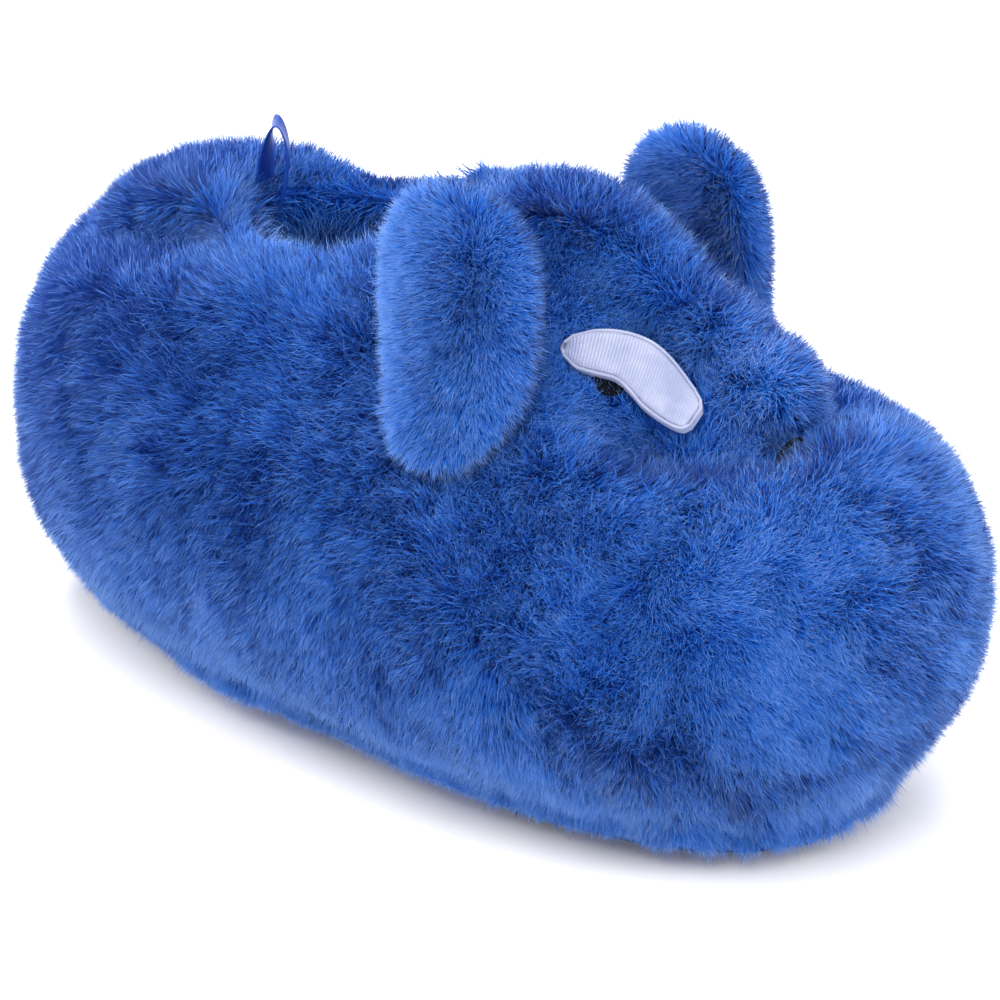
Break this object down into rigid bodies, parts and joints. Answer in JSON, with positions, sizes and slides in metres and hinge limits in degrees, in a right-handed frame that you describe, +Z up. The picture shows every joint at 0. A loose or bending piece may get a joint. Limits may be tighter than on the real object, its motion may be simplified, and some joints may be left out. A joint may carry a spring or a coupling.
{
  "type": "house slipper",
  "caption": "Child's plush animal-head house slipper: deep-pile closed upper with padded ears and embroidered eyes, ribbon pull loop at the heel, flat soft sole.",
  "frame": {"origin": "middle of the sole's flat underside, on the floor", "axes": "+X from heel to toe, +Y to the slipper's left side, +Z up"},
  "size_m": [0.1914, 0.0993, 0.1039],
  "materials": {
    "pile": "deep royal-blue plush pile, soft and matt",
    "sole": "blue textile sole with small grip dots",
    "fleece": "grey-blue short fleece",
    "white_thread": "white satin-stitch embroidery",
    "black_thread": "black satin-stitch embroidery",
    "ribbon": "blue satin ribbon"
  },
  "bodies": {
    "root": {"upper": "pile", "outsole": "sole", "insole": "fleece", "ear_left": "pile", "ear_right": "pile", "eye_white_left": "white_thread", "eye_white_right": "white_thread", "eye_pupil_left": "black_thread", "eye_pupil_right": "black_thread", "nostril_left": "black_thread", "nostril_right": "black_thread", "pull_loop": "ribbon"}
  },
  "joints": []
}
